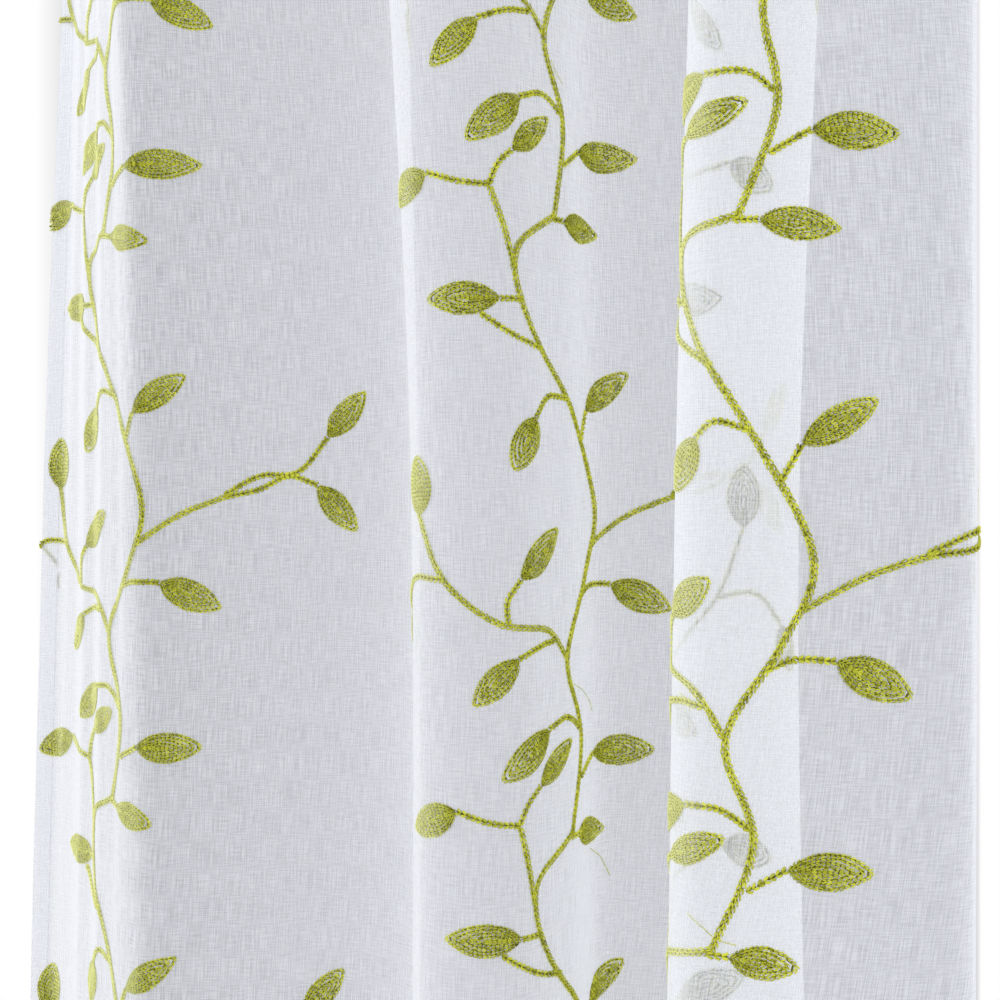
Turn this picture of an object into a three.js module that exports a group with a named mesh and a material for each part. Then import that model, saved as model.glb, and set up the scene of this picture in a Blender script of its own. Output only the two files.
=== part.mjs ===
// Sheer voile curtain panel, hanging free from its top edge in three deep, uneven folds.
//
// Millimetres. +Z is up, +X runs along the top edge, and the room side is -Y.
// The origin is on the cloth at the middle of the top edge, so the panel hangs below z = 0.
// The cloth is one solid: its hems are thicker bands of the same sheet.
import * as THREE from "three";

// The panel as it is cut and hemmed, laid flat.
const panel = {
  width: 880,
  drop: 900,
  thickness: 1.2,
  hemThickness: 2.0,
  topHem: 30,
  bottomHem: 60,
  sideHem: 15,
};

// How finely the sheet is divided, and over what distance a hem's extra thickness fades out.
const mesh = {
  columns: 118,
  rows: 12,
  hemFade: 1.5,
};

// The plans below are drawn square to the first face, which stands at this angle to the top edge.
const planTurn = THREE.MathUtils.degToRad(22);

// The height of the middle plan, at the middle of the cloth.
const middleHeight = -470;

// The plans of the folds, from the left edge of the cloth to its right edge. A row is one line down
// the cloth, and each of its pairs is a place across and back: at the top edge, at the middle
// height and at the hem.
const folds = [
  { at: "left edge",           top: [-253, 816], middle: [-262, 800], hem: [-275, 812] },
  { at: "left hem line",       top: [-244, 808], middle: [-246, 792], hem: [-255, 804] },
  { at: "left wall, rear",     top: [-231, 786], middle: [-231, 773], hem: [-237, 783] },
  { at: "left wall, front",    top: [-208, 734], middle: [-194, 727], hem: [-194, 729] },
  { at: "first crease",        top: [-201, 722], middle: [-184, 720], hem: [-182, 720] },
  { at: "first face, left",    top: [-172, 719], middle: [-160, 721], hem: [-157, 721] },
  { at: "first face, middle",  top: [-118, 726], middle: [-112, 729], hem: [-108, 728] },
  { at: "first face, right",   top: [-76, 728],  middle: [-71, 729],  hem: [-68, 723] },
  { at: "first valley",        top: [-58, 721],  middle: [-51, 720],  hem: [-48, 710] },
  { at: "first valley wall",   top: [-49, 702],  middle: [-41, 702],  hem: [-40, 696] },
  { at: "second fold edge",    top: [-61, 680],  middle: [-43, 678],  hem: [-43, 676] },
  { at: "second fold bend",    top: [-54, 665],  middle: [-36, 664],  hem: [-36, 661] },
  { at: "second face, left",   top: [-33, 656],  middle: [-18, 655],  hem: [-16, 652] },
  { at: "second face, right",  top: [-4, 657],   middle: [9, 657],    hem: [12, 655] },
  { at: "second wall",         top: [24, 678],   middle: [32, 681],   hem: [35, 684] },
  { at: "second crease",       top: [44, 702],   middle: [50, 708],   hem: [52, 722] },
  { at: "second valley, left", top: [74, 708],   middle: [76, 713],   hem: [78, 722] },
  { at: "second valley",       top: [114, 708],  middle: [108, 711],  hem: [110, 716] },
  { at: "second valley wall",  top: [140, 691],  middle: [128, 692],  hem: [131, 693] },
  { at: "rear turn",           top: [155, 656],  middle: [139, 656],  hem: [144, 657] },
  { at: "rear turn, inner",    top: [150, 636],  middle: [134, 636],  hem: [138, 636] },
  { at: "return",              top: [119, 620],  middle: [106, 620],  hem: [106, 620] },
  { at: "return, front",       top: [93, 609],   middle: [82, 609],   hem: [78, 609] },
  { at: "third fold edge",     top: [84, 590],   middle: [74, 590],   hem: [69, 590] },
  { at: "third fold bend",     top: [91, 576],   middle: [82, 576],   hem: [78, 576] },
  { at: "third face, left",    top: [113, 569],  middle: [106, 569],  hem: [104, 569] },
  { at: "third face, right",   top: [162, 567],  middle: [160, 567],  hem: [160, 567] },
  { at: "right crease",        top: [192, 571],  middle: [192, 571],  hem: [192, 571] },
  { at: "right wall",          top: [200, 590],  middle: [200, 590],  hem: [200, 590] },
  { at: "right edge",          top: [233, 690],  middle: [233, 690],  hem: [236, 700] },
];

// Where a fold row stands at a height: at its middle place, or between that and its place at the
// top edge or the hem, by a cubic curve along which it hangs plumb at each end of the drop.
function placeAt(row, height) {
  const nearTop = height > middleHeight;
  const span = nearTop ? -middleHeight : -panel.drop - middleHeight;
  const t = (height - middleHeight) / span;
  const towardsEnd = t ** 2 * (3 - 2 * t);
  const alongLean = (span * t * (1 - t) ** 2) / panel.drop;
  const [across, back] = [0, 1].map((i) => {
    const end = nearTop ? row.top[i] : row.hem[i];
    const lean = row.top[i] - row.hem[i];
    return row.middle[i] + (end - row.middle[i]) * towardsEnd + lean * alongLean;
  });
  return new THREE.Vector3(across, back, height);
}

// The line of the cloth across the panel at a height, as a smooth curve through the fold rows.
function crossLine(height) {
  const places = folds.map((row) => placeAt(row, height));
  const line = new THREE.CatmullRomCurve3(places, false, "centripetal");
  line.arcLengthDivisions = 3000;
  return line;
}

// The thickness at a place on the flat cloth: the hem's in the turned bands, the single cloth's
// elsewhere.
function thicknessAt(flat, height) {
  const intoHem = Math.max(
    height + panel.topHem,
    panel.bottomHem - panel.drop - height,
    panel.sideHem - flat,
    flat - panel.width + panel.sideHem,
  );
  const share = THREE.MathUtils.clamp(intoHem / mesh.hemFade, 0, 1);
  return THREE.MathUtils.lerp(panel.thickness, panel.hemThickness, share);
}

// Stations from 0 to a length: even ones between two hems, and a close pair at each hem line.
function stations(length, firstHem, lastHem, count) {
  const clear = length - firstHem - lastHem;
  const between = Array.from({ length: count + 1 }, (_, i) => firstHem + (clear * i) / count);
  const firstPair = [0, firstHem - mesh.hemFade];
  const lastPair = [length - lastHem + mesh.hemFade, length];
  return [...firstPair, ...between, ...lastPair];
}

// The panel starts as a board with one box for each cell of the cloth. Its corners are then hung on
// the cross lines, half the thickness to each side, so that the cloth is nowhere stretched across.
function hangPanel() {
  const across = stations(panel.width, panel.sideHem, panel.sideHem, mesh.columns);
  const down = stations(panel.drop, panel.topHem, panel.bottomHem, mesh.rows);
  const columns = across.length - 1;
  const rows = down.length - 1;
  const lines = down.map((distance) => crossLine(-distance));
  const lengths = lines.map((line) => line.getLength());
  const board = new THREE.BoxGeometry(columns, 1, rows, columns, 1, rows);
  const corners = board.getAttribute("position");
  for (let i = 0; i < corners.count; i += 1) {
    const row = Math.round(rows / 2 - corners.getZ(i));
    const flat = across[Math.round(corners.getX(i) + columns / 2)];
    const share = flat / lengths[row];
    const place = lines[row].getPointAt(share);
    const along = lines[row].getTangentAt(share);
    const offset = corners.getY(i) * thicknessAt(flat, place.z);
    corners.setXYZ(i, place.x - along.y * offset, place.y + along.x * offset, place.z);
  }
  board.computeVertexNormals();
  return board;
}

// The middle of the top edge, where the finished panel has its origin.
function topMiddle() {
  const topLine = crossLine(0);
  return topLine.getPointAt(panel.width / 2 / topLine.getLength());
}

const voile = new THREE.MeshStandardMaterial({ color: 0xf3f4f7, roughness: 0.9, metalness: 0 });
voile.name = "white voile";

const voilePanel = new THREE.Mesh(hangPanel(), voile);
voilePanel.name = "voile_panel";
voilePanel.rotation.z = planTurn;
voilePanel.position.copy(topMiddle()).applyEuler(voilePanel.rotation).negate();

const curtain = new THREE.Group();
curtain.add(voilePanel);

export default curtain;
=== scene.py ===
"""Sheer voile curtain panel, hung in deep uneven folds and chain-stitched with a leaf vine."""

import logging
import math
from dataclasses import dataclass, field
from enum import Enum

import bpy
import numpy as np
from bpy.types import Material, Mesh, Node, NodeSocket, NodeTree, Object
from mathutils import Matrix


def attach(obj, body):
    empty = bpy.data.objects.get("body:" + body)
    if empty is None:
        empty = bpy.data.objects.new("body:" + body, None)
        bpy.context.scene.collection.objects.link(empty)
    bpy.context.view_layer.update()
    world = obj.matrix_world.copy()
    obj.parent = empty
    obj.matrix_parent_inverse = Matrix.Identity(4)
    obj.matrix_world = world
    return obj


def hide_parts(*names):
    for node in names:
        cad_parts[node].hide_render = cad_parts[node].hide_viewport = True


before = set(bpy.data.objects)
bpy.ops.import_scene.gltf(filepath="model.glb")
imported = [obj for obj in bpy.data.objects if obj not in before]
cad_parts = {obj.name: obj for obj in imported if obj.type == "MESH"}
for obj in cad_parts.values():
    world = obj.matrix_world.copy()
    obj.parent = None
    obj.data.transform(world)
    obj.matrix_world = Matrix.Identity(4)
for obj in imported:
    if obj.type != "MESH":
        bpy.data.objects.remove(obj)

LOG = logging.getLogger("voile curtain")
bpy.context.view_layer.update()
MM = 0.001
# The plan of the folds is drawn at this angle to the top edge, and the camera looks along it.
PLAN_TURN = math.radians(22)
# How many steps a stem's curve takes between two of its points, before it is cut into stitches.
CURVE_SHARES = 24

Array = np.ndarray
Point = tuple[float, float]
Place = tuple[float, float, float]


class StemKind(Enum):
    """How wide a stem is worked: the sideways places of its rows in mm, and their breadth."""

    MAIN = ((-0.78, 0.78), 1.0)
    SIDE = ((-0.62, 0.62), 1.0)
    TWIG = ((0.0,), 1.6)


@dataclass(frozen=True)
class Crease:
    """A soft ridge or trough that runs down the cloth.

    Its place across the flat cloth is given at the top and at the hem. Its ends are the heights
    between which it shows, and its rise is in front of the cloth, or behind it below zero. All in mm.
    """

    top: float
    hem: float
    rise: float
    width: float
    upper_end: float = 100.0
    lower_end: float = -1000.0


@dataclass(frozen=True)
class Pull:
    """A place where the cloth is drawn aside, so that the vine isn't quite regular.

    Its place and reach are given across and up the flat cloth, and its shift across it, in mm.
    """

    flat: float
    height: float
    across: float
    upward: float
    shift: float


@dataclass(frozen=True)
class Leaf:
    """A stitched leaf of the vine, with its base and tip in mm from the fork, and its width."""

    base: Point
    tip: Point
    width: float


# A row is an upright line of the hung cloth: its plan places at the top, middle and hem, in mm.
FOLD_ROWS = (
    ((-253, 816), (-262, 800), (-275, 812)),  # left edge
    ((-244, 808), (-246, 792), (-255, 804)),  # left hem line
    ((-231, 786), (-231, 773), (-237, 783)),  # left wall, rear
    ((-208, 734), (-194, 727), (-194, 729)),  # left wall, front
    ((-201, 722), (-184, 720), (-182, 720)),  # first crease
    ((-172, 719), (-160, 721), (-157, 721)),  # first face, left
    ((-118, 726), (-112, 729), (-108, 728)),  # first face, middle
    ((-76, 728), (-71, 729), (-68, 723)),  # first face, right
    ((-58, 721), (-51, 720), (-48, 710)),  # first valley
    ((-49, 702), (-41, 702), (-40, 696)),  # first valley wall
    ((-61, 680), (-43, 678), (-43, 676)),  # second fold edge
    ((-54, 665), (-36, 664), (-36, 661)),  # second fold bend
    ((-33, 656), (-18, 655), (-16, 652)),  # second face, left
    ((-4, 657), (9, 657), (12, 655)),  # second face, right
    ((24, 678), (32, 681), (35, 684)),  # second wall
    ((44, 702), (50, 708), (52, 722)),  # second crease
    ((74, 708), (76, 713), (78, 722)),  # second valley, left
    ((114, 708), (108, 711), (110, 716)),  # second valley
    ((140, 691), (128, 692), (131, 693)),  # second valley wall
    ((155, 656), (139, 656), (144, 657)),  # rear turn
    ((150, 636), (134, 636), (138, 636)),  # rear turn, inner
    ((119, 620), (106, 620), (106, 620)),  # return
    ((93, 609), (82, 609), (78, 609)),  # return, front
    ((84, 590), (74, 590), (69, 590)),  # third fold edge
    ((91, 576), (82, 576), (78, 576)),  # third fold bend
    ((113, 569), (106, 569), (104, 569)),  # third face, left
    ((162, 567), (160, 567), (160, 567)),  # third face, right
    ((192, 571), (192, 571), (192, 571)),  # right crease
    ((200, 590), (200, 590), (200, 590)),  # right wall
    ((233, 690), (233, 690), (236, 700)),  # right edge
)

CREASES = (
    Crease(22, 26, 0.9, 4.0, -120, -760),
    Crease(33, 36, -1.2, 4.5, 100, -620),
    Crease(44, 50, 1.1, 4.0, -240),
    Crease(58, 62, -1.1, 5.0),
    Crease(71, 76, 1.0, 4.5, -60, -860),
    Crease(88, 92, -0.9, 5.0, 100, -700),
    Crease(150, 146, -0.5, 10.0),
    Crease(196, 188, 0.6, 14.0, -300),
    Crease(236, 240, -0.5, 9.0, 100, -640),
    Crease(352, 350, 0.5, 8.0),
    Crease(376, 380, -0.6, 7.0, -150),
    Crease(446, 442, -0.7, 7.0, 100, -660),
    Crease(470, 478, 0.6, 8.0, -260),
    Crease(505, 500, -0.5, 9.0),
    Crease(604, 610, 0.6, 8.0),
    Crease(668, 664, -0.5, 9.0, 100, -700),
    Crease(702, 700, 0.5, 10.0, -320),
    Crease(744, 750, -0.6, 9.0),
    Crease(790, 792, 0.7, 8.0, 100, -560),
    Crease(840, 836, -0.8, 9.0),
)

PULLS = (
    Pull(85, -315, 50, 50, -13),
    Pull(0, -470, 34, 120, 11),
    Pull(25, -660, 40, 75, 22),
    Pull(125, -700, 35, 50, 7),
    Pull(680, -350, 40, 55, -8),
    Pull(690, -490, 26, 60, -9),
    Pull(800, -470, 26, 60, 13),
    Pull(380, -225, 45, 32, 9),
    Pull(402, -318, 18, 26, -4),
    Pull(309, -462, 16, 28, -5),
    Pull(400, -720, 50, 39, 10.5),
    Pull(50, -745, 28, 28, 14),
    Pull(5, -745, 20, 30, 9),
    Pull(690, -250, 32, 54, 17),
    Pull(647, -290, 18, 25, -6),
    Pull(645, -597, 18, 25, -7),
    Pull(607, -468, 25, 45, -8),
    Pull(610, -325, 25, 40, -3),
)

# The stitched stems of the vine, through points in mm to the right of and below the fork.
VINE_STEMS = {
    StemKind.MAIN: (
        (
            (-25, -140), (-55, -120), (-50, -85), (-20, -45), (0, 0), (-10, 35), (-30, 75),
            (-15, 115), (-25, 160),
        ),
    ),
    # The riser, the side stem and the long branch.
    StemKind.SIDE: (
        ((-65, -150), (-60, -130), (-57, -112)),
        ((-30, 75), (-45, 60), (-75, 55), (-100, 35), (-110, 5)),
        ((-3, 20), (20, 5), (45, -5)),
    ),
    # The two strands of the long branch, and the leaves' own twigs.
    StemKind.TWIG: (
        ((42, -5), (60, -15), (80, -17), (95, -35)),
        ((42, -4), (60, -8), (75, -15), (90, -10)),
        ((-40, 65), (-52, 67), (-65, 72)),
        ((-17, -190), (-30, -197), (-45, -193)),
        ((-15, -165), (0, -175)),
        ((-27, -138), (-18, -138)),
        ((-65, -150), (-60, -160), (-52, -167)),
        ((-65, -150), (-80, -152), (-95, -157)),
        ((-53, -97), (-65, -97)),
        ((-75, -90), (-60, -80), (-42, -74)),
        ((-25, -52), (-40, -52), (-50, -42)),
        ((-12, -32), (-6, -47)),
        ((-15, 45), (-5, 40), (10, 40)),
        ((-70, 56), (-70, 45), (-63, 35)),
        ((-100, 35), (-120, 35), (-135, 50)),
    ),
}

VINE_LEAVES = (
    Leaf((-65, 72), (-88, 95), 14),
    Leaf((-45, -193), (-75, -170), 16),
    Leaf((0, -175), (37, -175), 16),
    Leaf((-18, -138), (12, -135), 14),
    Leaf((-52, -167), (-25, -187), 13),
    Leaf((-95, -157), (-122, -145), 16),
    Leaf((-65, -97), (-102, -97), 16),
    Leaf((-50, -42), (-65, -15), 16),
    Leaf((-6, -47), (24, -68), 14),
    Leaf((10, 40), (43, 54), 16),
    Leaf((-110, 5), (-110, -25), 18),
    Leaf((-63, 35), (-35, 10), 15),
    Leaf((-135, 50), (-142, 75), 12),
    Leaf((95, -35), (116, -60), 14),
    Leaf((90, -10), (112, 15), 14),
)

# Thread ends left hanging on the cloth, as places across and up it in mm.
LOOSE_ENDS = {
    "middle_vine": (
        ((390, -258), (393, -263), (398, -268)),
        ((400, -560), (410, -564), (419, -570), (423, -576)),
        ((426, -645), (437, -651), (441, -656), (445, -662)),
    ),
    "right_vine": (
        ((682, -640), (690, -645), (696, -649), (704, -651)),
        ((664, -550), (670, -553), (671, -557)),
    ),
}


def linear(hex_colour: str) -> tuple[float, float, float, float]:
    """Turns an sRGB hex colour into the linear colour that a shader takes.

    Args:
        hex_colour: Six hex digits after a hash.

    Returns:
        Red, green and blue from 0 to 1, and an alpha of 1.
    """
    channels = [int(hex_colour[i : i + 2], 16) / 255 for i in (1, 3, 5)]
    red, green, blue = (c / 12.92 if c <= 0.04045 else ((c + 0.055) / 1.055) ** 2.4 for c in channels)
    return (red, green, blue, 1.0)


def add_node(tree: NodeTree, kind: str, inputs: dict | None = None, **settings: object) -> Node:
    """Adds a node to a tree, with its settings, values and links.

    Args:
        tree: The node tree.
        kind: The shader node's Blender type, without the "ShaderNode" that all of them start with.
        inputs: For each input, by name or number, a value or what to link from: a socket, or a
            node for its first output.
        settings: The node's own properties.

    Returns:
        The new node.
    """
    node = tree.nodes.new(f"ShaderNode{kind}")
    for name, value in settings.items():
        setattr(node, name, value)
    for socket, value in (inputs or {}).items():
        source = value.outputs[0] if isinstance(value, Node) else value
        if isinstance(source, NodeSocket):
            tree.links.new(source, node.inputs[socket])
        else:
            node.inputs[socket].default_value = source
    return node


def new_material(name: str) -> Material:
    """Makes an empty node material.

    Args:
        name: What the material is.

    Returns:
        The material, with no nodes in it.
    """
    material = bpy.data.materials.new(name)
    material.use_nodes = True
    material.node_tree.nodes.clear()
    return material


def lengths_along(line: Array) -> Array:
    """Measures how far along a line of points each of them is."""
    steps = np.linalg.norm(np.diff(line, axis=0), axis=1)
    return np.concatenate([[0], np.cumsum(steps)])


def points_along(line: Array, places: Array) -> Array:
    """Finds the points that lie at given lengths along a line of points."""
    along = lengths_along(line)
    return np.column_stack([np.interp(places, along, axis) for axis in line.T])


def smooth_curve(points: Array, shares: int, power: float = 0.0) -> Array:
    """Draws a smooth curve through given points.

    Args:
        points: The points, one to a row.
        shares: How many steps the curve takes from one given point to the next.
        power: 0 for a curve that swings evenly, and 0.5 for one that keeps close at tight turns.

    Returns:
        The curve's points, both ends included.
    """
    ends = np.vstack([2 * points[0] - points[1], points, 2 * points[-1] - points[-2]])
    share = np.linspace(0, 1, shares, endpoint=False)[:, None]
    pieces = []
    for p0, p1, p2, p3 in zip(ends, ends[1:], ends[2:], ends[3:]):
        d0, d1, d2 = (np.linalg.norm(b - a) ** power for a, b in ((p0, p1), (p1, p2), (p2, p3)))
        start = ((p1 - p0) / d0 - (p2 - p0) / (d0 + d1) + (p2 - p1) / d1) * d1
        end = ((p2 - p1) / d1 - (p3 - p1) / (d1 + d2) + (p3 - p2) / d2) * d1
        pieces.append(
            p1 * (2 * share**3 - 3 * share**2 + 1)
            + start * (share**3 - 2 * share**2 + share)
            + p2 * (3 * share**2 - 2 * share**3)
            + end * (share**3 - share**2)
        )
    return np.vstack([*pieces, points[-1:]])


def even_steps(line: Array, step: float) -> Array:
    """Divides a line of points again into even steps.

    Args:
        line: The line's points, one to a row.
        step: The wanted length of a step.

    Returns:
        The line's points at steps as near that length as fits.
    """
    length = lengths_along(line)[-1]
    count = max(1, round(length / step))
    return points_along(line, np.linspace(0, length, count + 1))


def deselect_all() -> None:
    """Leaves nothing selected, so that the next operator works on its own piece alone."""
    bpy.ops.object.select_all(action="DESELECT")


@dataclass
class Drape:
    """The shape in which the cloth hangs, as a place for each point of the flat cloth.

    Flat places are in mm: across from the left edge, and up from the top edge, so that the cloth
    lies below zero. A place beyond an edge is on the hem that is turned to the back there.
    """

    width: float = 880.0
    drop: float = 900.0
    middle_height: float = -470.0
    turn: float = PLAN_TURN
    rows: tuple[tuple[Point, ...], ...] = FOLD_ROWS
    creases: tuple[Crease, ...] = CREASES
    hem_gap: float = 0.5
    hem_turn: float = 0.8
    height_step: float = 5.0
    flat_step: float = 1.0
    line_shares: int = 60
    crease_sway: float = 1.5
    crease_sway_height: float = 120.0
    crease_fade: float = 35.0
    wave_rise: float = 0.22
    ripple_rise: float = 0.12

    def __post_init__(self) -> None:
        """Works out the cross lines at even heights, and which way their cloth faces."""
        self.heights = np.arange(-self.drop, 0.1, self.height_step)
        self.flats = np.arange(0, self.width + 0.1, self.flat_step)
        self.lines = np.stack([self.cross_line(height) for height in self.heights])
        middle = np.searchsorted(self.flats, self.width / 2)
        self.origin = self.lines[-1, middle]
        along = np.gradient(self.lines, axis=1)
        along /= np.linalg.norm(along, axis=2, keepdims=True)
        self.fronts = np.stack([along[:, :, 1], -along[:, :, 0]], axis=2)

    def fold_places(self, height: float) -> Array:
        """Gives the plan places of the fold rows at a height.

        Args:
            height: The height, in mm.

        Returns:
            One place a row, in mm.
        """
        near_top = height > self.middle_height
        span = -self.middle_height if near_top else -self.drop - self.middle_height
        t = (height - self.middle_height) / span
        top, middle, hem = np.array(self.rows, float).swapaxes(0, 1)
        end = top if near_top else hem
        lean = (top - hem) * span * t * (1 - t) ** 2 / self.drop
        return middle + (end - middle) * t * t * (3 - 2 * t) + lean

    def cross_line(self, height: float) -> Array:
        """Runs the cloth's line at a height through the fold rows.

        Args:
            height: The height, in mm.

        Returns:
            The plan place for each mm across the flat cloth.
        """
        curve = smooth_curve(self.fold_places(height), self.line_shares, power=0.5)
        return points_along(curve, self.flats)

    def relief(self, flat: Array, height: Array) -> Array:
        """Gives how far the small creases and waves lift the cloth to its front.

        Args:
            flat: Places across the cloth, in mm.
            height: Their heights, in mm.

        Returns:
            The lift of each, in mm.
        """
        # Broad waves come and go down the cloth, and finer ripples run slantwise over them. Places
        # are divided by lengths in mm, which set how wide each one is.
        wave = np.sin(flat / 19 + 0.6 * np.sin(height / 140)) * np.sin(height / 210 + 1.3)
        ripple = np.sin(flat / 7.3 + height / 95 + 0.5 * np.sin(height / 61))
        lift = self.wave_rise * wave + self.ripple_rise * ripple
        for crease in self.creases:
            share = -height / self.drop
            middle = crease.top + (crease.hem - crease.top) * share
            sway = np.sin(height / self.crease_sway_height + crease.top)
            middle = middle + self.crease_sway * sway
            fade = 1 / (1 + np.exp((height - crease.upper_end) / self.crease_fade))
            fade = fade / (1 + np.exp((crease.lower_end - height) / self.crease_fade))
            lift += crease.rise * fade * np.exp(-(((flat - middle) / crease.width) ** 2))
        return lift

    def hang(self, flat: Array, height: Array) -> Array:
        """Hangs points of the flat cloth, with the hems turned to the back.

        Args:
            flat: Places across the cloth, in mm.
            height: Their heights, in mm.

        Returns:
            The points in the part's frame, in metres.
        """
        across, upward = np.clip(flat, 0, self.width), np.clip(height, -self.drop, 0)
        over, beyond = np.abs(flat - across), np.abs(height - upward)
        flat, height = 2 * across - flat, 2 * upward - height
        turned = np.clip(over / self.hem_turn, 0, 1) + np.clip(beyond / self.hem_turn, 0, 1)
        behind = self.hem_gap * turned
        # Each point lies between four of the worked-out ones, so the last is never passed.
        inside = 1.001
        row = np.clip((height + self.drop) / self.height_step, 0, len(self.heights) - inside)
        column = np.clip(flat / self.flat_step, 0, len(self.flats) - inside)
        r, c = row.astype(int), column.astype(int)
        a, b = (row - r)[..., None], (column - c)[..., None]
        place, front = (
            (t[r, c] * (1 - b) + t[r, c + 1] * b) * (1 - a)
            + (t[r + 1, c] * (1 - b) + t[r + 1, c + 1] * b) * a
            for t in (self.lines, self.fronts)
        )
        place = place + front * (self.relief(flat, height) - behind)[..., None] - self.origin
        cos, sin = math.cos(self.turn), math.sin(self.turn)
        x = place[..., 0] * cos - place[..., 1] * sin
        y = place[..., 0] * sin + place[..., 1] * cos
        return np.stack([x, y, height], axis=-1) * MM

    def axes(self, flat: Array, height: Array) -> tuple[Array, ...]:
        """Gives the cloth's directions at points of the flat cloth.

        Args:
            flat: Places across the cloth, in mm.
            height: Their heights, in mm.

        Returns:
            Unit vectors across the cloth, up it, and out of its right side.
        """
        reach = 0.7
        across = self.hang(flat + reach, height) - self.hang(flat - reach, height)
        up = self.hang(flat, height + reach) - self.hang(flat, height - reach)
        across /= np.linalg.norm(across, axis=-1, keepdims=True)
        out = np.cross(across, up)
        out /= np.linalg.norm(out, axis=-1, keepdims=True)
        return across, np.cross(out, across), out


@dataclass(frozen=True)
class SlubVoile:
    """Polyester and linen voile, plain woven from uneven slub yarns.

    The yarns are white and matt, with a faint sheen from their fibres. Light passes between them,
    so that a single layer is half see-through, two layers are nearly white, and a slanting face is
    denser than a square one. Thick and thin yarns show as fine upright and level streaks.
    """

    colour: str = "#f6f7fb"
    cover: float = 0.57
    warp_pitch: float = 0.55 * MM
    weft_pitch: float = 0.6 * MM
    warp_slub: float = 15 * MM
    weft_slub: float = 9 * MM
    weft_strength: float = 0.6
    uneven_cover: float = 0.2
    most_slanted: float = 0.12
    light_through: float = 0.4

    def build(self) -> Material:
        """Makes the voile, from the flat cloth's own map in metres.

        Returns:
            The material.
        """
        material = new_material("polyester linen voile, plain woven")
        tree = material.node_tree
        flat = add_node(tree, "UVMap", uv_map="flat cloth").outputs["UV"]
        # Real voile has about 30 yarns to the centimetre. They are drawn nearly twice as coarse,
        # so that single yarns still show.
        warp = self.yarns(tree, flat, (1 / self.warp_pitch, 1 / self.warp_slub, 1))
        weft = self.yarns(tree, flat, (1 / self.weft_slub, 1 / self.weft_pitch, 1))
        # The weft is the evener of the two.
        weft = add_node(tree, "Math", {0: weft, 1: self.weft_strength}, operation="MULTIPLY")
        both = add_node(tree, "Math", {0: warp, 1: weft}, operation="ADD")
        most, least = 1 - self.cover + self.uneven_cover, 1 - self.cover - self.uneven_cover
        ends = {"From Min": 0.5, "From Max": 1.1, "To Min": most, "To Max": least}
        gaps = add_node(tree, "MapRange", {"Value": both, **ends})
        # On a slanting face the light crosses more yarn, as it crosses more glass in a pane.
        slant = add_node(tree, "LayerWeight", {"Blend": 0.5}).outputs["Facing"]
        square = add_node(tree, "Math", {0: 1.0, 1: slant}, operation="SUBTRACT")
        square = add_node(tree, "Math", {0: square, 1: self.most_slanted}, operation="MAXIMUM")
        depth = add_node(tree, "Math", {0: 1.0, 1: square}, operation="DIVIDE")
        clear = add_node(tree, "Math", {0: gaps, 1: depth}, operation="POWER")
        bump = add_node(tree, "Bump", {"Strength": 0.35, "Distance": 0.3 * MM, "Height": both})
        fuzz = {
            "Base Color": linear(self.colour),
            "Roughness": 0.85,
            "IOR": 1.5,
            "Specular IOR Level": 0.25,
            "Sheen Weight": 0.25,
            "Sheen Roughness": 0.5,
            "Normal": bump,
        }
        yarn = add_node(tree, "BsdfPrincipled", fuzz)
        through = add_node(tree, "BsdfTranslucent", {"Color": linear(self.colour), "Normal": bump})
        cloth = add_node(tree, "MixShader", {0: self.light_through, 1: yarn, 2: through})
        open_gap = add_node(tree, "BsdfTransparent")
        surface = add_node(tree, "MixShader", {0: clear, 1: cloth, 2: open_gap})
        add_node(tree, "OutputMaterial", {"Surface": surface})
        return material

    def yarns(self, tree: NodeTree, flat: NodeSocket, scale: tuple[float, ...]) -> Node:
        """Draws one set of uneven yarns, as noise drawn out along them.

        Args:
            tree: The node tree.
            flat: The flat cloth's map.
            scale: The noise's scale along and across the yarns, per metre.

        Returns:
            The node that gives the yarn's thickness, around a half.
        """
        place = add_node(tree, "Mapping", {"Vector": flat, "Scale": scale})
        noise = {"Vector": place, "Scale": 1.0, "Detail": 1.0, "Roughness": 0.5}
        return add_node(tree, "TexNoise", noise, noise_dimensions="2D")


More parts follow.
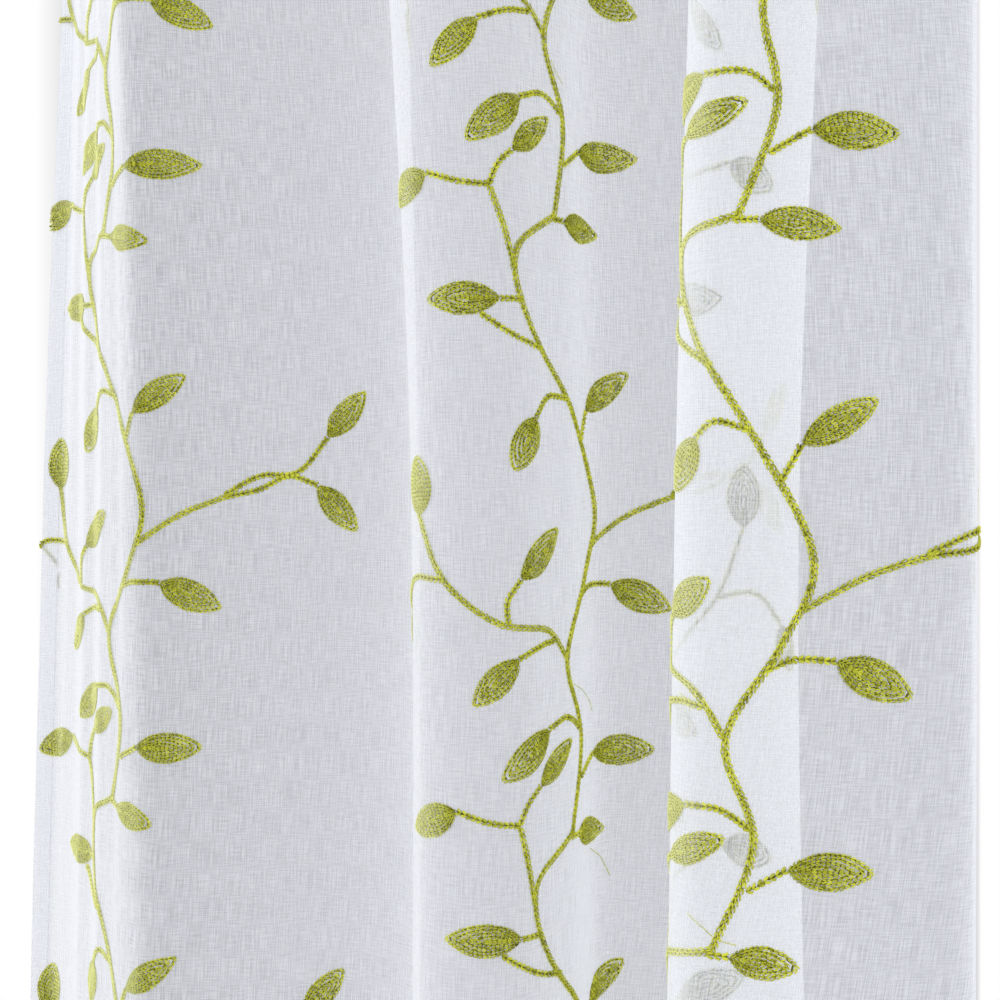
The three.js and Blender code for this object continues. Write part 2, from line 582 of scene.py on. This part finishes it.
@dataclass(frozen=True)
class EmbroideryThread:
    """Polyester yarn, soft spun and plied: dyed leaf green for the vines, and white for the seams.

    The yarn is fuzzy, so that its light is broad and soft, and each stitch takes the dye a little
    darker or lighter than the next. On the faces turned to the left light the green is made pale
    and yellow, a painted highlight.
    """

    dark: str
    light: str
    painted_highlight: str
    name: str = "polyester embroidery yarn, soft spun"
    fibre: float = 0.35 * MM
    painted_light_strength: float = 0.7

    def build(self) -> Material:
        """Makes the yarn, lighter or darker by each stitch's shade, which holds painted shade at the
        strands' ends, and paler by painted light where the fade attribute is set.

        Returns:
            The material.
        """
        material = new_material(self.name)
        tree = material.node_tree
        shade = add_node(tree, "Attribute", attribute_name="shade").outputs["Fac"]
        mix = {"Factor": shade, "A": linear(self.dark), "B": linear(self.light)}
        colour = add_node(tree, "Mix", mix, data_type="RGBA").outputs["Result"]
        # Painted light: the fade attribute mixes the yarn towards a pale, yellow highlight colour on
        # faces turned to the left light.
        fade = add_node(tree, "Attribute", attribute_name="fade").outputs["Fac"]
        fade = add_node(tree, "Math", {0: fade, 1: self.painted_light_strength}, operation="MULTIPLY")
        mix = {"Factor": fade, "A": colour, "B": linear(self.painted_highlight)}
        colour = add_node(tree, "Mix", mix, data_type="RGBA").outputs["Result"]
        place = add_node(tree, "TexCoord").outputs["Object"]
        # The yarn's fibres are far finer, and are drawn at a third of a millimetre.
        fibres = add_node(tree, "TexNoise", {"Vector": place, "Scale": 1 / self.fibre, "Detail": 1.0})
        bump = add_node(tree, "Bump", {"Strength": 0.4, "Distance": 0.15 * MM, "Height": fibres})
        fuzz = {
            "Base Color": colour,
            "Roughness": 0.65,
            "IOR": 1.5,
            "Specular IOR Level": 0.08,
            "Sheen Weight": 0.18,
            "Sheen Roughness": 0.25,
            "Sheen Tint": linear(self.light),
            "Normal": bump,
        }
        yarn = add_node(tree, "BsdfPrincipled", fuzz)
        add_node(tree, "OutputMaterial", {"Surface": yarn})
        return material


@dataclass
class StitchCloud:
    """Rows of stitches placed on the flat cloth, before they are made.

    A row holds each stitch's middle, direction, length, lift, breadth and shade.
    """

    rows: list[tuple[Array, ...]] = field(default_factory=list)

    def add_row(self, line: Array, lift: float, breadth: float, shades: Array) -> None:
        """Adds a row of stitches, one for each step of a line.

        Args:
            line: The line's points on the flat cloth, in mm.
            lift: The stitches' height over the cloth, in mm.
            breadth: How wide the stitches are, against their model.
            shades: How light each stitch is, from 0 to 1.
        """
        steps = np.diff(line, axis=0)
        lengths = np.linalg.norm(steps, axis=1, keepdims=True)
        lifts, breadths = np.full_like(lengths, lift), np.full_like(lengths, breadth)
        middles = (line[1:] + line[:-1]) / 2
        self.rows.append((middles, steps / lengths, lengths, lifts, breadths, shades[:, None]))


@dataclass
class Stitch:
    """A stitch of one plump strand, which lies through the cloth and shows on both its sides.

    It is 1 mm long here, lies along +X on the XY plane, and is drawn out to each stitch's length.
    """

    thickness: float = 1.1
    width: float = 1.1
    overlap: float = 1.15
    turn: float = math.radians(6)
    # Past this share of its half length a strand's end is darkened as painted shade, by this much.
    end_share: float = 0.9
    painted_end_shade: float = 0.65
    # Painted light: the way towards the left light, and the slants over which the yarn is painted
    # paler.
    painted_light_way: Place = (-0.927, -0.375, 0.0)
    painted_light_from: float = 0.35
    painted_light_over: float = 0.45

    def __post_init__(self) -> None:
        """Models the stitch and keeps its points and triangles."""
        deselect_all()
        bpy.ops.mesh.primitive_uv_sphere_add(
            segments=4, ring_count=3, radius=0.5, rotation=(0, math.pi / 2, 0)
        )
        strand = bpy.context.object
        bpy.ops.object.transform_apply(location=False, rotation=True, scale=False)
        bpy.ops.object.mode_set(mode="EDIT")
        bpy.ops.mesh.quads_convert_to_tris()
        bpy.ops.transform.resize(value=(self.overlap, self.width, self.thickness))
        self.shape(strand)
        bpy.ops.mesh.select_all(action="SELECT")
        bpy.ops.mesh.normals_make_consistent(inside=False)
        bpy.ops.object.mode_set(mode="OBJECT")
        mesh = strand.data
        self.vertices = np.array([v.co[:] for v in mesh.vertices])
        self.faces = np.array([p.vertices[:] for p in mesh.polygons])
        end = self.overlap / 2 * self.end_share
        self.painted_end_shade_mask = (np.abs(self.vertices[:, 0]) > end).astype(float)
        bpy.data.objects.remove(strand)
        bpy.data.meshes.remove(mesh)

    def shape(self, strand: Object) -> None:
        """Leaves the strand straight."""

    def work(self, name: str, cloud: StitchCloud, drape: Drape) -> Object:
        """Works the stitch at each place of a cloud, as one joined piece on the cloth.

        Args:
            name: The piece's name.
            cloud: Where the stitches go.
            drape: The hung cloth.

        Returns:
            The piece.
        """
        flats, ways, lengths, lifts, breadths, shades = map(np.vstack, zip(*cloud.rows))
        turns = np.random.default_rng(len(flats)).normal(0, self.turn, (len(flats), 1))
        aslant = np.column_stack([-ways[:, 1], ways[:, 0]])
        ways = ways * np.cos(turns) + aslant * np.sin(turns)
        across, up, out = drape.axes(flats[:, 0], flats[:, 1])
        places = drape.hang(flats[:, 0], flats[:, 1]) + out * lifts * MM
        along = across * ways[:, :1] + up * ways[:, 1:]
        aside = np.cross(out, along)
        x, y, z = (self.vertices[None, :, i, None] for i in range(3))
        points = (
            places[:, None]
            + along[:, None] * x * lengths[:, None] * MM
            + aside[:, None] * y * breadths[:, None] * MM
            + out[:, None] * z * breadths[:, None] * MM
        )
        count = len(self.vertices)
        faces = self.faces[None] + np.arange(len(points))[:, None, None] * count
        piece = joined_piece(name, points.reshape(-1, 3), faces.reshape(-1, 3))
        shade = piece.data.attributes.new("shade", "FLOAT", "POINT")
        # Painted shade: each strand's ends dive under the next one, where little light reaches them,
        # and are darkened in its colour.
        tones = np.clip(shades - self.painted_end_shade * self.painted_end_shade_mask[None], 0, 1)
        shade.data.foreach_set("value", tones.astype(np.float32).ravel())
        # Painted light: the yarn is made paler on the faces that are turned towards the left light.
        towards = out @ np.array(self.painted_light_way)
        painted_light_share = np.clip((towards - self.painted_light_from) / self.painted_light_over, 0, 1)
        fade = piece.data.attributes.new("fade", "FLOAT", "POINT")
        fade.data.foreach_set("value", np.repeat(painted_light_share, count).astype(np.float32))
        return piece


@dataclass
class ChainStitch(Stitch):
    """One link of chain stitch: two plump strands that part from a point, as a V."""

    thickness: float = 0.92
    width: float = 0.92
    overlap: float = 1.2
    spread: float = 0.72

    def shape(self, strand: Object) -> None:
        """Slants the strand outwards and adds its twin on the other side.

        Args:
            strand: The strand, in edit mode.
        """
        # The ends dip into the cloth, and the middle bows outwards and up.
        reach = self.overlap / 2 * 0.95
        for low, high, way in (
            (-1.0, -reach, (0, 0, -0.1)),
            (reach, 1.0, (0, self.spread * 0.7, -0.2)),
            (-0.5, 0.0, (0, self.spread * 0.5, 0.12)),
            (0.0, 0.5, (0.04, self.spread, 0.02)),
        ):
            bpy.ops.mesh.select_all(action="DESELECT")
            bpy.ops.object.mode_set(mode="OBJECT")
            for vertex in strand.data.vertices:
                vertex.select = low < vertex.co.x < high
            bpy.ops.object.mode_set(mode="EDIT")
            bpy.ops.transform.translate(value=way)
        bpy.ops.mesh.select_all(action="SELECT")
        bpy.ops.mesh.duplicate()
        bpy.ops.transform.mirror(constraint_axis=(False, True, False), center_override=(0, 0, 0))


def joined_piece(name: str, points: Array, faces: Array) -> Object:
    """Makes a piece of many small things in one mesh.

    Args:
        name: The piece's name.
        points: The points, in metres.
        faces: The triangles.

    Returns:
        The piece, with its object at the origin.
    """
    mesh = bpy.data.meshes.new(name)
    mesh.vertices.add(len(points))
    mesh.vertices.foreach_set("co", points.astype(np.float32).ravel())
    mesh.loops.add(faces.size)
    mesh.loops.foreach_set("vertex_index", faces.astype(np.int32).ravel())
    mesh.polygons.add(len(faces))
    mesh.polygons.foreach_set("loop_start", np.arange(0, faces.size, 3, dtype=np.int32))
    mesh.polygons.foreach_set("use_smooth", np.ones(len(faces), dtype=bool))
    mesh.update(calc_edges=True)
    piece = bpy.data.objects.new(name, mesh)
    bpy.context.collection.objects.link(piece)
    return piece


@dataclass
class VoilePanel:
    """The sheet of voile, cut flat with its hems and hung in its folds."""

    drape: Drape
    top_hem: float = 30.0
    bottom_hem: float = 60.0
    side_hem: float = 15.0
    column: float = 2.8
    row: float = 7.5

    @property
    def flat_size(self) -> tuple[float, float]:
        """The size to which the sheet is cut, in metres."""
        width = self.drape.width + 2 * self.side_hem
        length = self.drape.drop + self.top_hem + self.bottom_hem
        return width * MM, length * MM

    def build(self, finish: SlubVoile) -> Object:
        """Cuts the sheet as a flat grid and hangs it.

        Args:
            finish: The voile.

        Returns:
            The sheet.
        """
        width, length = self.flat_size
        deselect_all()
        bpy.ops.mesh.primitive_grid_add(
            x_subdivisions=round(width / MM / self.column),
            y_subdivisions=round(length / MM / self.row),
            size=1,
        )
        sheet = bpy.context.object
        sheet.name = sheet.data.name = "voile_sheet"
        mesh = sheet.data
        flat = np.empty(len(mesh.vertices) * 3)
        mesh.vertices.foreach_get("co", flat)
        share = flat.reshape(-1, 3)[:, :2] + 0.5
        across = share[:, 0] * width / MM - self.side_hem
        height = share[:, 1] * length / MM - self.bottom_hem - self.drape.drop
        mesh.vertices.foreach_set("co", self.drape.hang(across, height).ravel())
        self.map_flat(mesh, share * np.array([width, length]))
        mesh.polygons.foreach_set("use_smooth", np.ones(len(mesh.polygons), dtype=bool))
        mesh.update()
        mesh.materials.append(finish.build())
        return sheet

    def map_flat(self, mesh: Mesh, places: Array) -> None:
        """Keeps each point's place on the flat cloth as the sheet's map, in metres.

        Args:
            mesh: The sheet's mesh.
            places: The places, one for each point.
        """
        while mesh.uv_layers:
            mesh.uv_layers.remove(mesh.uv_layers[0])
        corners = np.empty(len(mesh.loops), dtype=np.int32)
        mesh.loops.foreach_get("vertex_index", corners)
        layer = mesh.uv_layers.new(name="flat cloth")
        layer.data.foreach_set("uv", places[corners].astype(np.float32).ravel())


@dataclass
class HemSeams:
    """The straight seams that hold the hems, seen on both sides of the cloth."""

    panel: VoilePanel
    stitch: Stitch
    inset: float = 2.5
    length: float = 4.5
    breadth: float = 0.4
    shade: float = 0.9

    def build(self, finish: Material) -> Object:
        """Sews the seams along the edges of the hems.

        Args:
            finish: The thread's material.

        Returns:
            The seams, as one piece.
        """
        panel, drape = self.panel, self.panel.drape
        side = panel.side_hem - self.inset
        high, low = self.inset - panel.top_hem, panel.bottom_hem - self.inset - drape.drop
        far = drape.width - side
        cloud = StitchCloud()
        for start, end in (
            ((side, 0), (side, -drape.drop)),
            ((far, 0), (far, -drape.drop)),
            ((0, high), (drape.width, high)),
            ((0, low), (drape.width, low)),
        ):
            line = even_steps(np.array([start, end], float), self.length)
            for lift in (0.0, -drape.hem_gap):
                cloud.add_row(line, lift, self.breadth, np.full(len(line) - 1, self.shade))
        piece = self.stitch.work("hem_seams", cloud, drape)
        piece.data.materials.append(finish)
        return piece


@dataclass
class Vine:
    """One climbing vine of the embroidery: stems and filled leaves in chain stitch."""

    name: str
    panel: VoilePanel
    chain: ChainStitch
    underlay: Stitch
    place: float
    lean: float
    seed: int
    lean_middle: float = 25.0
    fork_height: float = -472.5
    repeat: float = 300.0
    repeats: range = range(-2, 3)
    edge_gap: float = 1.0
    sag_places: tuple[float, ...] = (0, 60, 110, 540, 640, 665, 690, 880)
    sag_drops: tuple[float, ...] = (-14, -12, 0, 0, 7, 13, 21, 30)
    # Lengths, breadths and lifts of the stitches, and how far they stray, in mm.
    stem_stitch: float = 2.6
    leaf_stitch: float = 2.1
    leaf_breadth: float = 0.86
    underlay_stitch: float = 4.0
    loose_stitch: float = 1.6
    loose_breadth: float = 0.28
    chain_lift: float = 0.45
    row_lift: float = 0.1
    underlay_lift: float = 0.05
    loose_lift: float = 1.0
    row_wander: float = 0.12
    round_wander: float = 0.16
    # The rounds of a leaf: their gap, and shares of it or of the leaf's length.
    round_gap: float = 1.6
    least_round: float = 0.25
    first_underlay: float = 0.7
    crown: float = 0.05
    base_shift: float = 0.3
    base_crowding: float = 0.16
    edge_points: int = 60
    spine: Point = (0.14, 0.8)
    # How light the stitches are, from 0 to 1, and how much they differ.
    stem_shade: float = 0.74
    base_shade: float = 0.5
    tip_shade: float = 0.9
    spine_shade: float = 0.6
    loose_shade: float = 0.8
    # The underlay is made dark, painted shade in the gaps between the strands that lie over it.
    stem_underlay_painted_shade: float = 0.28
    leaf_underlay_painted_shade: float = 0.18
    shade_spread: float = 0.14

    def __post_init__(self) -> None:
        """Starts the vine's own run of small differences between its stitches."""
        self.drape = self.panel.drape
        self.uneven = np.random.default_rng(self.seed)
        self.stems, self.leaves, self.under = StitchCloud(), StitchCloud(), StitchCloud()

    def on_cloth(self, chart: Array, level: float) -> Array:
        """Takes the vine's points to the flat cloth, where the weft sags between the folds.

        Args:
            chart: Points in mm to the right of and below the fork.
            level: How far below the middle fork this repeat's fork lies.

        Returns:
            Places across and up the flat cloth, in mm.
        """
        down = chart[:, 1] + level
        flat = self.place + chart[:, 0] + self.lean * (down + self.lean_middle)
        height = self.fork_height - down - np.interp(flat, self.sag_places, self.sag_drops)
        for pull in PULLS:
            away = ((flat - pull.flat) / pull.across) ** 2
            away = away + ((height - pull.height) / pull.upward) ** 2
            flat = flat + pull.shift * np.exp(-away)
        return np.column_stack([flat, height])

    def kept(self, line: Array) -> Array:
        """Tells which points of a line are on the cut cloth, short of its raw edges.

        Args:
            line: The line's points on the flat cloth.

        Returns:
            Whether each is on the cloth.
        """
        side = self.panel.side_hem - self.edge_gap
        high = self.panel.top_hem - self.edge_gap
        low = self.edge_gap - self.panel.bottom_hem - self.drape.drop
        flat, height = line.T
        return (flat > -side) & (flat < self.drape.width + side) & (height < high) & (height > low)

    def add_runs(
        self, cloud: StitchCloud, line: Array, lift: float, breadth: float, shade: Array | float
    ) -> None:
        """Adds the stitches of a line that are on the cloth, each a little lighter or darker.

        Args:
            cloud: Where the stitches are gathered.
            line: The line's points on the flat cloth.
            lift: The stitches' height over the cloth, in mm.
            breadth: How wide the stitches are.
            shade: How light the stitches are, before they differ.
        """
        shades = np.clip(shade + self.uneven.normal(0, self.shade_spread, len(line) - 1), 0, 1)
        inside = self.kept(line)
        whole = inside[1:] & inside[:-1]
        starts = np.flatnonzero(whole & ~np.concatenate([[False], whole[:-1]]))
        stops = np.flatnonzero(whole & ~np.concatenate([whole[1:], [False]])) + 1
        for start, stop in zip(starts, stops):
            cloud.add_row(line[start : stop + 1], lift, breadth, shades[start:stop])

    def work_stem(self, kind: StemKind, points: tuple[Point, ...], level: float) -> None:
        """Works a stem in rows of chain side by side, over a row of underlay.

        Args:
            kind: How wide the stem is worked.
            points: The points through which it runs, from the fork.
            level: How far below the middle fork this repeat's fork lies.
        """
        places = self.on_cloth(np.array(points, float), level)
        line = even_steps(smooth_curve(places, CURVE_SHARES), self.stem_stitch)
        way = np.gradient(line, axis=0)
        way /= np.linalg.norm(way, axis=1, keepdims=True)
        aside = np.column_stack([-way[:, 1], way[:, 0]])
        offsets, breadth = kind.value
        for number, offset in enumerate(offsets):
            wander = self.uneven.normal(0, self.row_wander, len(line))
            half_step = way * (self.stem_stitch / 2 if number == 1 else 0)
            row = line + aside * (offset + wander)[:, None] + half_step
            lift = self.chain_lift + self.row_lift * number
            self.add_runs(self.stems, row, lift, breadth, self.stem_shade)
        under = even_steps(line, self.underlay_stitch)
        spread = max(1.0, offsets[-1] * 2.0)
        self.add_runs(self.under, under, self.underlay_lift, spread, self.stem_underlay_painted_shade)

    def leaf_round(self, leaf: Leaf, ends: Array, inset: float, step: float) -> Array:
        """Runs one round of a leaf's filling, closer to its neighbours at the base.

        Args:
            leaf: The leaf.
            ends: The base and tip on the flat cloth.
            inset: How far inside the edge the round lies, in mm.
            step: The length of its stitches.

        Returns:
            The round's points on the flat cloth.
        """
        length = float(np.linalg.norm(ends[1] - ends[0]))
        way = (ends[1] - ends[0]) / length
        aside = np.array([-way[1], way[0]])
        half = leaf.width / 2
        radius = ((length / 2) ** 2 + half**2) / (2 * half)
        reach = math.sqrt((radius - inset) ** 2 - (radius - half) ** 2)
        middle = length / 2 - self.base_shift * (length / 2 - reach)
        edge = np.linspace(-1, 1, self.edge_points)
        swell = np.sqrt((radius - inset) ** 2 - (edge * reach) ** 2) - (radius - half)
        there = np.column_stack([middle + edge * reach, swell])
        back = np.column_stack([there[::-1, 0], -there[::-1, 1]])
        outline = even_steps(np.vstack([there, back[1:]]), step)
        share = outline[:, 0] / length
        along = outline[:, 0] - self.base_crowding * length * share * (1 - share)
        sideways = outline[:, 1] + self.uneven.normal(0, self.round_wander, len(outline))
        return ends[0] + way * along[:, None] + aside * sideways[:, None]

    def work_leaf(self, leaf: Leaf, level: float) -> None:
        """Fills a leaf with rounds of chain from its edge inwards, over rounds of underlay.

        The filling is dense and dark at the base, and open and light towards the tip.

        Args:
            leaf: The leaf.
            level: How far below the middle fork this repeat's fork lies.
        """
        ends = self.on_cloth(np.array([leaf.base, leaf.tip], float), level)
        way = (ends[1] - ends[0]) / np.sum((ends[1] - ends[0]) ** 2)
        half = leaf.width / 2
        gap = self.round_gap
        for inset in np.arange(gap / 2, half - self.least_round * gap, gap):
            line = self.leaf_round(leaf, ends, inset, self.leaf_stitch)
            share = ((line[:-1] + line[1:]) / 2 - ends[0]) @ way
            shade = self.base_shade + (self.tip_shade - self.base_shade) * share
            lift = self.chain_lift + self.crown * inset
            self.add_runs(self.leaves, line, lift, self.leaf_breadth, shade)
        low, high = self.spine
        steps = round((high - low) / (np.linalg.norm(way) * self.leaf_stitch))
        spine = ends[0] + np.linspace(low, high, steps)[:, None] * (ends[1] - ends[0])
        lift = self.chain_lift + self.crown * half
        self.add_runs(self.leaves, spine, lift, self.leaf_breadth, self.spine_shade)
        for inset in np.arange(self.first_underlay * gap, half, gap):
            line = self.leaf_round(leaf, ends, inset, self.underlay_stitch)
            self.add_runs(self.under, line, self.underlay_lift, 1.0, self.leaf_underlay_painted_shade)

    def build(self, finish: Material) -> list[Object]:
        """Works the whole vine down the cloth.

        Args:
            finish: The thread's material.

        Returns:
            The pieces: the stems, the leaves and their underlay.
        """
        for repeat in self.repeats:
            level = repeat * self.repeat
            for kind, stems in VINE_STEMS.items():
                for points in stems:
                    self.work_stem(kind, points, level)
            for leaf in VINE_LEAVES:
                self.work_leaf(leaf, level)
        for end in LOOSE_ENDS.get(self.name, ()):
            line = even_steps(smooth_curve(np.array(end, float), CURVE_SHARES), self.loose_stitch)
            self.add_runs(self.stems, line, self.loose_lift, self.loose_breadth, self.loose_shade)
        pieces = [
            self.chain.work(f"{self.name}_stems", self.stems, self.drape),
            self.chain.work(f"{self.name}_leaves", self.leaves, self.drape),
            self.underlay.work(f"{self.name}_underlay", self.under, self.drape),
        ]
        for piece in pieces:
            piece.data.materials.append(finish)
        return pieces


@dataclass
class Studio:
    """A plain pale room: a backdrop and a floor, soft lights and the camera."""

    turn: float = PLAN_TURN
    camera_place: Place = (0.2206, -0.6692, -0.470)
    lens: float = 50.4
    sensor: float = 36.0
    wall_distance: float = 3.2
    wall_middle: float = 0.6
    wall_size: tuple[float, float] = (9.0, 4.6)
    floor_height: float = -1.66
    floor_size: tuple[float, float] = (12.0, 12.0)
    light_aim: Place = (0.0, 0.0, -0.45)

    def build(self) -> None:
        """Makes the backdrop, the floor, the lights and the camera."""
        self.add_camera()
        self.add_wall()
        self.add_floor()
        self.add_lights()

    def add_camera(self) -> None:
        """Sets the camera level, looking along the turned plan."""
        deselect_all()
        bpy.ops.object.camera_add(location=self.camera_place, rotation=(math.pi / 2, 0, self.turn))
        camera = bpy.context.object
        camera.data.lens = self.lens
        camera.data.sensor_width = self.sensor
        bpy.context.scene.camera = camera

    def add_wall(self) -> None:
        """Stands a backdrop behind the cloth, square to the camera, glowing with painted light and
        shade.
        """
        across, back, _ = self.camera_place
        middle = (
            across - math.sin(self.turn) * self.wall_distance,
            back + math.cos(self.turn) * self.wall_distance,
            self.wall_middle,
        )
        wall = self.plain_sheet("backdrop", self.wall_size, self.paper())
        wall.rotation_euler = (math.pi / 2, 0, self.turn)
        wall.location = middle

    def plain_sheet(self, name: str, size: tuple[float, float], finish: Material) -> Object:
        """Makes a level sheet at the origin.

        Args:
            name: The sheet's name.
            size: Its width and length, in metres.
            finish: Its material.

        Returns:
            The sheet.
        """
        deselect_all()
        bpy.ops.mesh.primitive_plane_add(size=1)
        sheet = bpy.context.object
        sheet.name = name
        bpy.ops.object.mode_set(mode="EDIT")
        bpy.ops.transform.resize(value=(*size, 1.0))
        bpy.ops.object.mode_set(mode="OBJECT")
        sheet.data.materials.append(finish)
        return sheet

    def paper(self) -> Material:
        """Makes backdrop paper that glows by its own emission: painted light, white at its sides, and
        painted shade, grey in the middle.

        Returns:
            The material.
        """
        material = new_material("backdrop paper, glowing with painted light")
        tree = material.node_tree
        place = add_node(tree, "TexCoord").outputs["Object"]
        across = add_node(tree, "SeparateXYZ", {0: place})
        # The places of the tones are in metres across the backdrop.
        ends = {"From Min": -1.06, "From Max": -0.84, "To Min": 1.0, "To Max": 0.0}
        left = add_node(tree, "MapRange", {"Value": across, **ends})
        ends = {"From Min": 1.08, "From Max": 1.1}
        right = add_node(tree, "MapRange", {"Value": across, **ends})
        sides = add_node(tree, "Math", {0: left, 1: right}, operation="ADD")
        grey = linear("#8a8b92")
        for start, end, shade in ((-0.9, -0.25, "#b8b9c0"), (0.4, 0.7, "#a8a9b0")):
            ends = {"From Min": start, "From Max": end}
            share = add_node(tree, "MapRange", {"Value": across, **ends})
            mix = {"Factor": share, "A": grey, "B": linear(shade)}
            grey = add_node(tree, "Mix", mix, data_type="RGBA").outputs["Result"]
        mix = {"Factor": sides, "A": grey, "B": linear("#ffffff")}
        tone = add_node(tree, "Mix", mix, data_type="RGBA").outputs["Result"]
        # Painted light: the backdrop glows by itself instead of being lit, white at its sides and
        # grey as painted shade in the middle.
        glow = add_node(tree, "Emission", {"Color": tone, "Strength": 1.0})
        add_node(tree, "OutputMaterial", {"Surface": glow})
        return material

    def add_floor(self) -> None:
        """Lays a plain pale floor."""
        material = new_material("pale floor, matt paint")
        tree = material.node_tree
        matt = {"Base Color": linear("#e4e4e2"), "Roughness": 0.8}
        paint = add_node(tree, "BsdfPrincipled", matt)
        add_node(tree, "OutputMaterial", {"Surface": paint})
        floor = self.plain_sheet("floor", self.floor_size, material)
        floor.location = (0, 0, self.floor_height)

    def add_lights(self) -> None:
        """Lights the cloth softly from both sides of the camera, and from all round."""
        for name, place, size, power in (
            ("left light", (-2.3, -0.75, -0.1), 2.0, 27.0),
            ("right light", (2.2, -0.2, -0.1), 2.0, 15.0),
            ("front light", (0.9, -2.6, 0.6), 2.2, 12.0),
        ):
            deselect_all()
            bpy.ops.object.light_add(type="AREA", location=place)
            light = bpy.context.object
            light.name = name
            light.data.size = size
            light.data.energy = power
            aim = np.array(self.light_aim) - np.array(place)
            light.rotation_euler = (
                math.atan2(math.hypot(aim[0], aim[1]), -aim[2]),
                0,
                math.atan2(aim[1], aim[0]) - math.pi / 2,
            )
        world = bpy.data.worlds.new("studio air")
        world.use_nodes = True
        air = world.node_tree.nodes["Background"]
        air.inputs["Color"].default_value = linear("#f4f6fa")
        air.inputs["Strength"].default_value = 0.8
        bpy.context.scene.world = world
        bpy.context.scene.view_settings.view_transform = "Standard"


def report(piece: Object) -> None:
    """Logs a finished piece with its size."""
    LOG.info("%s: %d faces", piece.name, len(piece.data.polygons))


def main() -> None:
    """Builds the curtain and its studio."""
    logging.basicConfig(level=logging.INFO, format="%(name)s: %(message)s")
    Studio().build()
    drape = Drape()
    panel = VoilePanel(drape)
    sheet = panel.build(SlubVoile())
    report(sheet)
    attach(sheet, "root")
    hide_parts("voile_panel")
    chain, underlay = ChainStitch(), Stitch()
    thread = EmbroideryThread("#525400", "#e4e650", "#f2f4b4").build()
    for vine in (
        Vine("left_vine", panel, chain, underlay, place=113.5, lean=0.0, seed=11),
        Vine("middle_vine", panel, chain, underlay, place=420.0, lean=0.045, seed=12),
        Vine("right_vine", panel, chain, underlay, place=718.0, lean=0.01, seed=13),
    ):
        for piece in vine.build(thread):
            report(piece)
            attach(piece, "root")
    sewing = EmbroideryThread("#dcdde2", "#f6f7fa", "#f6f7fa", "polyester sewing thread, spun")
    seams = HemSeams(panel, underlay).build(sewing.build())
    report(seams)
    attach(seams, "root")


if __name__ == "__main__":
    main()
